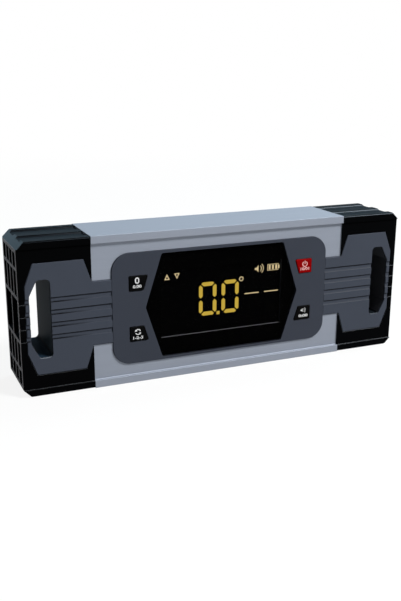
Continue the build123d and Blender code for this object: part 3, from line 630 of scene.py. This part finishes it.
degree = circle(centre_x=8.8 * mm, centre_z=36.8 * mm, inner=0.62 * mm, outer=1.0 * mm)
sound = loudspeaker(left=14.92 * mm, middle=40.33 * mm, size=4.6 * mm)
signs = printed("display_signs", glass_face, segment_layer, battery + arrows + degree + sound, pale)
for piece in (digits, points, dashes, signs):
    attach(piece, "housing")


# Circuit board: green solder mask over copper, screwed to the bosses of the panel. It carries a controller,
# a tilt sensor, a buzzer and four switches in black moulded cases.
board = Finish("green_solder_mask", specular_ior_level=0.5)
routing = {"Vector": board.place, "Scale": 1 / (4 * mm), "Mortar Size": 0.06}
tracks = board.node("ShaderNodeTexBrick", {}, routing, 1)
weave = board.grain(0.3 * mm, 0.3 * mm, 0.3 * mm)
board.vary("Base Color", board.mix(0.6 * tracks + 0.2 * weave, tint(16, 84, 46), tint(40, 128, 74)))
board.vary("Roughness", 0.3 + 0.2 * weave)
board.relief(tracks, 0.02 * mm, 0.1 * mm)
dress(board, "main_board")

package = Finish("moulded_package", specular_ior_level=0.4)
filler = package.grain(0.12 * mm, 0.12 * mm, 0.12 * mm)
package.vary("Base Color", package.mix(filler, tint(22, 22, 23), tint(38, 38, 40)))
package.vary("Roughness", 0.5 + 0.25 * filler)
package.relief(filler, 0.01 * mm, 0.1 * mm)
dress(package, "controller_chip", "tilt_sensor", "buzzer", "key_switches")
dress(zinc, "board_screws")


# Keys: three black and one red, moulded with a flange that keeps them behind the panel. They are printed with
# plain signs and numerals, in white or, on red, in pink. Each rests on the white plunger of its switch.
key_colours = {"black": (tint(2, 2, 2), tint(5, 5, 6)), "red": (tint(132, 0, 2), tint(143, 0, 5))}
key_plastics = {}
for name, (dark, light) in key_colours.items():
    plastic = Finish("satin_key_" + name, specular_ior_level=0.03)
    texture = plastic.grain(0.18 * mm, 0.18 * mm, 0.18 * mm)
    plastic.vary("Base Color", plastic.mix(texture, dark, light))
    plastic.vary("Roughness", 0.4 + 0.16 * texture)
    plastic.relief(texture, 0.004 * mm, 0.12 * mm)
    key_plastics[name] = plastic
dress(key_plastics["black"], "zero_key", "mode_key", "hold_key")
dress(key_plastics["red"], "power_key")

nylon = Finish("white_nylon")
sheen_spots = nylon.grain(0.5 * mm, 0.5 * mm, 0.5 * mm)
nylon.vary("Base Color", nylon.mix(sheen_spots, tint(214, 212, 202), tint(230, 228, 220)))
nylon.vary("Roughness", 0.4 + 0.2 * sheen_spots)
dress(nylon, "zero_plunger", "mode_plunger", "power_plunger", "hold_plunger")

ink_colours = {
    "white": (tint(214, 214, 214), tint(236, 236, 236)),
    "pink": (tint(236, 176, 172), tint(246, 196, 192)),
}
inks = {}
for name, (thin, full) in ink_colours.items():
    inks[name] = Finish(name + "_ink", specular_ior_level=0.1)
    coverage = inks[name].grain(0.15 * mm, 0.15 * mm, 0.15 * mm)
    inks[name].vary("Base Color", inks[name].mix(coverage, thin, full))
    inks[name].vary("Roughness", 0.5 + 0.2 * coverage)


def numerals(name, text, middle_x, face, middle_z, width, height, layer, finish):
    """Bold printed figures of a width and a height in front of a face at depth Y."""
    curve = bpy.data.curves.new(name, "FONT")
    curve.body = text
    curve.extrude = 0.5
    curve.offset = 0.03
    holder = bpy.data.objects.new(name, curve)
    mesh = bpy.data.meshes.new_from_object(holder)
    bpy.data.objects.remove(holder)
    across = [vertex.co.x for vertex in mesh.vertices]
    along = [vertex.co.y for vertex in mesh.vertices]
    mesh.transform(Matrix.Translation((-(min(across) + max(across)) / 2, -(min(along) + max(along)) / 2, 0)))
    scale = (width / (max(across) - min(across)), height / (max(along) - min(along)), layer, 1)
    mesh.transform(Matrix.Rotation(math.pi / 2, 4, "X") @ Matrix.Diagonal(scale))
    mesh.transform(Matrix.Translation((middle_x, face - layer / 2, middle_z)))
    return placed(name, mesh, finish.owner)


def zero_sign(x, z):
    """An upright rounded nought."""
    line = 0.48 * mm
    radius = 0.88 * mm
    rise = 0.37 * mm
    sides = [block(left, z - rise, line, 2 * rise) for left in (x - radius, x + radius - line)]
    bends = [arc(x, z + way * rise, radius - line, radius, 90 * (1 - way), 90 * (3 - way)) for way in (1, -1)]
    return sides + bends


def cycle_sign(x, z):
    """Two arrows that chase each other round a circle."""
    inner = 0.8 * mm
    outer = 1.22 * mm
    barb_reach = 0.5 * mm
    tip_reach = 0.75 * mm
    sweep = 115
    shapes = []
    for start in (20, 200):
        end = start + sweep
        shapes.append(arc(x, z, inner, outer, start, end))
        angle = math.radians(end)
        along = Vector((-math.sin(angle), math.cos(angle)))
        out = Vector((math.cos(angle), math.sin(angle)))
        middle = Vector((x, z)) + out * (inner + outer) / 2
        barb = out * barb_reach
        tip = along * tip_reach
        shapes.append([tuple(middle + barb), tuple(middle + tip), tuple(middle - barb)])
    return shapes


def power_sign(x, z):
    """A broken circle with a stroke through its gap."""
    inner = 0.89 * mm
    outer = 1.25 * mm
    line = 0.36 * mm
    stroke_height = 1.35 * mm
    gap_left = 125
    gap_right = 415
    bow = arc(x, z, inner, outer, gap_left, gap_right, steps=30)
    return [bow, block(x - line / 2, z, line, stroke_height)]


def sound_sign(x, z):
    """A loudspeaker with sound waves."""
    half_width = 1.3 * mm
    return loudspeaker(x - half_width, z, size=2.7 * mm)


key_flange = 0.8 * mm
print_layer = 0.02 * mm
sign_shift = 0.55 * mm
figures_height = 1.2 * mm
key_signs = {
    "zero": (zero_sign, 1.8 * mm, "0.00", 4.15 * mm, 3.5 * mm, "key_black"),
    "mode": (cycle_sign, 2.2 * mm, "1-2-3", 4.5 * mm, 4.1 * mm, "key_black"),
    "power": (power_sign, 2.1 * mm, "10/01", 4.15 * mm, 4.1 * mm, "key_red"),
    "hold": (sound_sign, 1.85 * mm, "0:00", 4.25 * mm, 4.4 * mm, "key_black"),
}
for name, (sign, sign_drop, text, text_drop, text_width, slot) in key_signs.items():
    low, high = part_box(name + "_key")
    middle = (low.x + high.x) / 2
    middle += math.copysign(sign_shift, middle)
    top = high.z - key_flange
    ink = inks["pink" if slot == "key_red" else "white"]
    mark = printed(name + "_sign", low.y, print_layer, sign(middle, top - sign_drop), ink)
    figures = numerals(
        name + "_figures", text, middle, low.y, top - text_drop, text_width, figures_height, print_layer, ink
    )
    for piece in (mark, figures):
        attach(piece, name + "_button")


# Battery tray and contacts: a black moulded box hooked into the rear web, with nickel-plated spring strips
# at its ends. Two small dry cells in plain printed sleeves lie in it, turned opposite ways.
tray_plastic = Finish("moulded_black_tray", specular_ior_level=0.3)
tray_grain = tray_plastic.grain(0.35 * mm, 0.35 * mm, 0.35 * mm)
tray_plastic.vary("Base Color", tray_plastic.mix(tray_grain, tint(20, 20, 22), tint(30, 31, 33)))
tray_plastic.vary("Roughness", 0.48 + 0.2 * tray_grain)
tray_plastic.relief(tray_grain, 0.012 * mm, 0.2 * mm)
dress(tray_plastic, "battery_tray")

nickel = Finish("nickel_plated_strip", metallic=1.0)
rolling = nickel.grain(0.2 * mm, 6 * mm, 0.2 * mm)
nickel.vary("Base Color", nickel.mix(rolling, tint(172, 168, 158), tint(206, 203, 194)))
nickel.vary("Roughness", 0.2 + 0.2 * rolling)
nickel.relief(rolling, 0.003 * mm, 0.05 * mm)
dress(nickel, "contact_bridge", "contact_positive", "contact_negative")

band_start = 12 * mm
plus_place = 17 * mm
plus_arm = 1.3 * mm
plus_line = 0.28 * mm
for name, way in (("upper_cell", 1), ("lower_cell", -1)):
    low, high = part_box(name)
    radius = (high.z - low.z) / 2
    sleeve = Finish(name + "_sleeve", specular_ior_level=0.5)
    shift = (-(low.x + high.x) / 2, -(low.y + high.y) / 2, -(low.z + high.z) / 2)
    centred = sleeve.node("ShaderNodeMapping", {}, {"Vector": sleeve.place, "Location": shift})
    lengthwise, rearward, across = sleeve.axes(centred)
    along = way * lengthwise
    wrap = across * across + rearward * rearward > (0.86 * radius) ** 2
    band = along > band_start
    reach = abs(along - plus_place)
    rise = abs(across)
    cross = (reach < plus_arm) * (rise < plus_line) + (reach < plus_line) * (rise < plus_arm)
    cross = (cross > 0.5) * (rearward > 0.0)
    wear = sleeve.grain(1.2 * mm, 0.4 * mm, 0.4 * mm)
    body = sleeve.mix(wear, tint(46, 74, 108), tint(54, 84, 120))
    coloured = sleeve.mix(band, body, tint(196, 198, 200))
    marked = sleeve.mix(cross, coloured, tint(40, 40, 44))
    sleeve.vary("Base Color", sleeve.mix(wrap, tint(180, 180, 178), marked))
    sleeve.vary("Metallic", 1 - wrap)
    sleeve.vary("Roughness", 0.28 + 0.12 * wear)
    sleeve.relief(wear, 0.004 * mm, 0.15 * mm)
    dress(sleeve, name)


# Battery cover: a plain black plate over the cells, flush with the rear web and moulded with the same grain
# as the caps. Two small pan-head screws stay in it when it comes off.
cover_plastic = Finish("moulded_black_cover", specular_ior_level=0.2)
cover_grain = cover_plastic.grain(0.3 * mm, 0.3 * mm, 0.3 * mm, 4.0)
cover_rub = cover_plastic.grain(12 * mm, 12 * mm, 12 * mm)
cover_plastic.vary("Base Color", cover_plastic.mix(cover_rub, tint(18, 19, 21), tint(26, 27, 30)))
cover_plastic.vary("Roughness", 0.45 + 0.2 * cover_grain)
cover_plastic.relief(cover_grain, 0.012 * mm, 0.2 * mm)
dress(cover_plastic, "battery_cover")

low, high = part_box("cover_screws")
head_radius = 1.9 * mm
head = [(1.25 * mm, 0.0), (1.6 * mm, -0.08 * mm), (1.82 * mm, -0.26 * mm), (head_radius, -0.5 * mm)]
head += [(head_radius, -0.86 * mm), (1.85 * mm, -0.9 * mm), (1.0 * mm, -0.9 * mm)]
recess = {"arm": 1.08 * mm, "slot": 0.25 * mm, "recess": 0.6 * mm}
screw = cross_screw("cover_screw", head, shank=1.0 * mm, tip=low.y - high.y, pitch=0.8 * mm, **recess)
crowns = Vector(((low.x + high.x) / 2, high.y, (low.z + high.z) / 2))
spread_x = high.x - low.x - 2 * head_radius
cover_screws = in_rows("cover_screw_set", screw, zinc, crowns, spread_x, turn=any_turn, seed=2)
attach(cover_screws, "rear_cover")
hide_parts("cover_screws")


# Studio: a pale floor that fades into a white surround, a soft light above the right front, which draws the
# grooves, and a larger, weaker one behind. In gloss the surround is cool above and darkens to the sides.
white = (1.0, 1.0, 1.0, 1.0)
floor_radius = 6.0
floor_gap = 0.02 * mm


def met_by(finish, *kinds):
    """One where rays of these kinds meet the surround, and otherwise nought."""
    met = [finish.node("ShaderNodeLightPath", output="Is %s Ray" % kind) for kind in kinds]
    return sum(met[1:], met[0]) > 0.5


sheet = bmesh.new()
below = Matrix.Translation((0, 0, -floor_gap))
bmesh.ops.create_circle(sheet, cap_ends=True, segments=64, radius=floor_radius, matrix=below)
floor_mesh = bpy.data.meshes.new("studio_floor")
sheet.to_mesh(floor_mesh)
paper = Finish("white_paper", specular_ior_level=0.0, roughness=0.9)
paper_grey = (0.2, 0.2, 0.2, 1.0)
paper_white = (0.8, 0.8, 0.8, 1.0)
paper.vary("Base Color", paper.mix(met_by(paper, "Camera"), paper_grey, paper_white))
distance = paper.node("ShaderNodeVectorMath", {"operation": "LENGTH"}, {0: paper.place}, "Value")
far = {"Value": distance, "From Min": 0.25, "From Max": 0.9, "To Min": 0.88, "To Max": 1.0}
fade = paper.node("ShaderNodeMapRange", {"interpolation_type": "SMOOTHSTEP"}, far)
shown = fade * met_by(paper, "Camera") + met_by(paper, "Glossy", "Transmission")
glow = paper.node("ShaderNodeEmission", {}, {"Color": white, "Strength": 1.0})
lit_paper = Signal(paper, paper.shader.outputs[0])
surface = paper.node("ShaderNodeMixShader", {}, {0: shown, 1: lit_paper, 2: glow})
paper.connect(paper.tree.nodes["Material Output"].inputs["Surface"], surface)
floor = placed("studio_floor", floor_mesh, paper.owner)

surround = bpy.data.worlds.new("studio_surround")
bpy.context.scene.world = surround
sky = Finish("studio_surround", surround)
dim = sky.node("ShaderNodeBackground", {}, {"Color": (0.92, 0.97, 1.0, 1.0), "Strength": 0.15})
direction = sky.node("ShaderNodeTexCoord", output="Generated")
side, _, height = sky.axes(direction)
climb = sky.ramp(height, 0.06, 0.2)
side_share = 0.15
from_left = sky.ramp(side, -0.25, 0.15, side_share, 1.0)
to_right = sky.ramp(side, 0.4, 0.6, 1.0, side_share)
shade = sky.mix(from_left * to_right, (0.0, 0.0, 0.0, 1.0), (0.58, 0.78, 0.95, 1.0))
cool = sky.mix(climb, white, shade)
shown = sky.mix(met_by(sky, "Camera"), cool, white)
bright = sky.node("ShaderNodeBackground", {}, {"Color": shown, "Strength": 1.0})
looked_at = met_by(sky, "Camera", "Glossy", "Transmission")
seen = sky.node("ShaderNodeMixShader", {}, {0: looked_at, 1: dim, 2: bright})
sky.connect(sky.tree.nodes["World Output"].inputs["Surface"], seen)


def softbox(name, place, target, size, power, colour):
    """A square lamp that faces a target."""
    lamp = bpy.data.lights.new(name, "AREA")
    lamp.size = size
    lamp.energy = power
    lamp.color = colour
    holder = bpy.data.objects.new(name, lamp)
    holder.location = place
    holder.rotation_mode = "QUATERNION"
    holder.rotation_quaternion = (Vector(target) - Vector(place)).to_track_quat("-Z", "Y")
    bpy.context.scene.collection.objects.link(holder)


middle = Vector((0, 0, (cad_box[0].z + cad_box[1].z) / 2))
cool_white = (0.77, 0.95, 1.0)
softbox("front_softbox", (0.6, -0.7, 1.0), middle, size=0.3, power=24.0, colour=white[:3])
softbox("rear_softbox", (1.2, 0.65, 1.5), middle, size=0.95, power=21.5, colour=cool_white)


# Camera: it stands to the left of the level and a little above it, and sees an upright picture. Its place,
# heading and lens were fitted to the corners of the level in the photograph.
lens = bpy.data.cameras.new("camera")
lens.sensor_width = 36.0
lens.lens = 49.07
camera = bpy.data.objects.new("camera", lens)
camera.location = (-134.77 * mm, -301.6 * mm, 121.53 * mm)
heading = math.radians(23.32)
drop = math.radians(16.18)
roll = math.radians(0.19)
ahead = Vector((math.sin(heading) * math.cos(drop), math.cos(heading) * math.cos(drop), -math.sin(drop)))
camera.rotation_mode = "QUATERNION"
camera.rotation_quaternion = ahead.to_track_quat("-Z", "Y") @ Matrix.Rotation(roll, 3, "Z").to_quaternion()
bpy.context.scene.collection.objects.link(camera)
bpy.context.scene.camera = camera
bpy.context.scene.view_settings.view_transform = "Standard"
